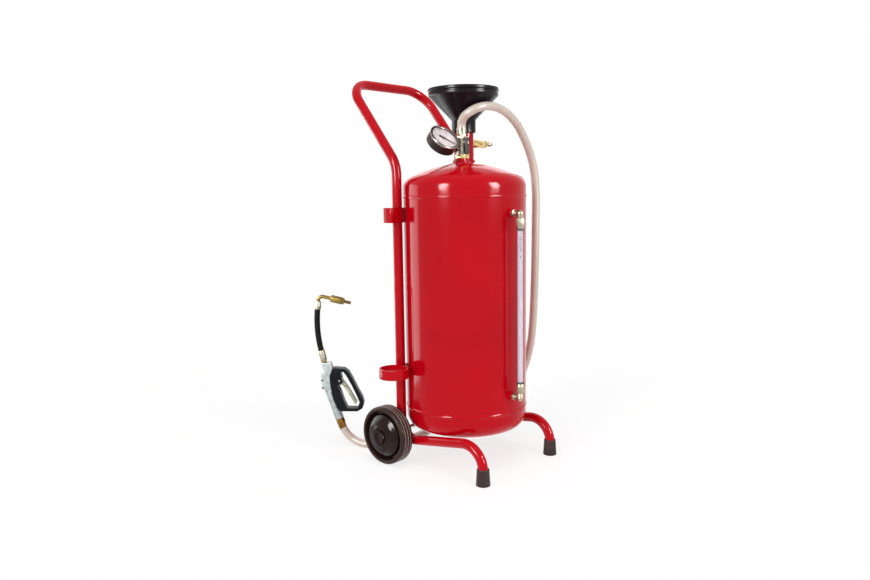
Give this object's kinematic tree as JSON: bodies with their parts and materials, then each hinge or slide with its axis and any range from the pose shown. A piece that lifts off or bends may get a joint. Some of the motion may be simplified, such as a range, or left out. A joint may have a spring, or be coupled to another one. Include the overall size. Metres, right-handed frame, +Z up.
{
  "type": "mobile oil dispenser",
  "caption": "Two-wheeled pressure dispenser for oil: upright tank on a bent-tube trolley with funnel, sight tube, gauge, ball valve, braided hose and oil control gun.",
  "frame": {"origin": "on the floor, in the middle of the footprint of the part without its hose; the tank's axis stands 5 mm to the right of it and 63 mm in front of it", "axes": "+Z up, along the tank's axis; -Y towards the two feet, +Y towards the wheels and the handle; +X towards the side with the air inlet"},
  "size_m": [0.3628, 0.4424, 0.7947],
  "materials": {
    "red_paint": "gloss",
    "dark_rubber": "matte",
    "steel": "satin",
    "dark_wheel": "gloss",
    "hub_plastic": "gloss",
    "nylon": "matte",
    "black_plastic": "satin",
    "black_rubber": "matte",
    "brass": "polished",
    "old_brass": "satin",
    "nickel": "satin",
    "ptfe": "matte",
    "dial_white": "matte",
    "needle_black": "matte",
    "clear": "polished",
    "clear_tube": "gloss",
    "braided_hose": "satin",
    "cast_alu": "satin",
    "pale_metal": "satin"
  },
  "bodies": {
    "trolley": {"tank_shell": "red_paint", "top_head": "red_paint", "bottom_head": "red_paint", "seam_beads": "red_paint", "tank_lugs": "red_paint", "handle_tube": "red_paint", "left_leg_tube": "red_paint", "right_leg_tube": "red_paint", "foot_caps": "dark_rubber", "axle_sleeves": "red_paint", "axle": "steel", "axle_washers": "steel", "axle_clips": "steel", "upper_holder": "red_paint", "lower_holder": "red_paint", "filler_pipe": "red_paint", "funnel": "black_plastic", "air_valve": "brass", "air_nipple": "old_brass", "outlet_neck": "red_paint", "dip_tube": "steel", "neck_reducer": "brass", "valve_body": "nickel", "valve_seats": "ptfe", "hose_tail": "nickel", "gauge_elbow": "black_plastic", "gauge_case": "black_plastic", "gauge_dial": "dial_white", "gauge_lens": "clear", "sight_bosses": "red_paint", "sight_elbows": "old_brass", "sight_nuts": "old_brass", "sight_seals": "black_rubber", "sight_tube": "clear_tube", "hose": "braided_hose", "gun_swivel": "old_brass"},
    "left_wheel": {"left_tyre": "dark_wheel", "left_hub": "hub_plastic", "left_bush": "nylon", "left_hub_cap": "hub_plastic"},
    "right_wheel": {"right_tyre": "dark_wheel", "right_hub": "hub_plastic", "right_bush": "nylon", "right_hub_cap": "hub_plastic"},
    "plug": {"filler_plug": "black_plastic", "plug_seal": "black_rubber"},
    "lever": {"valve_ball": "steel", "valve_stem": "steel", "valve_lever": "black_plastic"},
    "needle": {"gauge_needle": "needle_black"},
    "gun": {"gun_body": "cast_alu", "gun_guard": "black_plastic", "trigger_pin": "steel", "spout_ferrule": "pale_metal", "spout_hose": "black_rubber", "end_ferrule": "pale_metal", "spout_pipe": "brass", "spout_nozzle": "brass"},
    "trigger": {"gun_trigger": "pale_metal"},
    "plunger": {"valve_plunger": "brass"}
  },
  "joints": [
    {"name": "left_wheel_spin", "type": "hinge", "parent": "trolley", "child": "left_wheel", "pos_m": [-0.138, 0.031, 0.06], "axis": [1, 0, 0], "continuous": true},
    {"name": "right_wheel_spin", "type": "hinge", "parent": "trolley", "child": "right_wheel", "pos_m": [0.148, 0.031, 0.06], "axis": [1, 0, 0], "continuous": true},
    {"name": "filler_plug_lift", "type": "slide", "parent": "trolley", "child": "plug", "axis": [0, 0, 1], "range_m": [0, 0.06]},
    {"name": "valve_lever_turn", "type": "hinge", "parent": "trolley", "child": "lever", "pos_m": [-0.025, -0.083, 0.651], "axis": [0, -1, 0], "range_deg": [0, 90]},
    {"name": "gauge_needle_turn", "type": "hinge", "parent": "trolley", "child": "needle", "pos_m": [-0.07018, -0.07676, 0.65853], "axis": [0.1227, 0.733, -0.6691], "range_deg": [0, 270], "stiffness_Nm_per_rad": 0.0006},
    {"name": "gun_swivel_turn", "type": "hinge", "parent": "trolley", "child": "gun", "pos_m": [-0.132, 0.179, 0.044], "axis": [-0.2084, 0.2282, 0.9511], "range_deg": [-180, 180]},
    {"name": "trigger_squeeze", "type": "hinge", "parent": "gun", "child": "trigger", "pos_m": [-0.1347, 0.18195, 0.151], "axis": [0.7385, 0.6743, 0], "range_deg": [0, 14], "stiffness_Nm_per_rad": 0.8},
    {"name": "plunger_push", "type": "slide", "parent": "gun", "child": "plunger", "axis": [-0.6743, 0.7385, 0], "range_m": [0, 0.0017]}
  ],
  "couplings": [
    {"joint": "plunger_push", "follows": "trigger_squeeze", "m_per_rad": 0.00696}
  ]
}
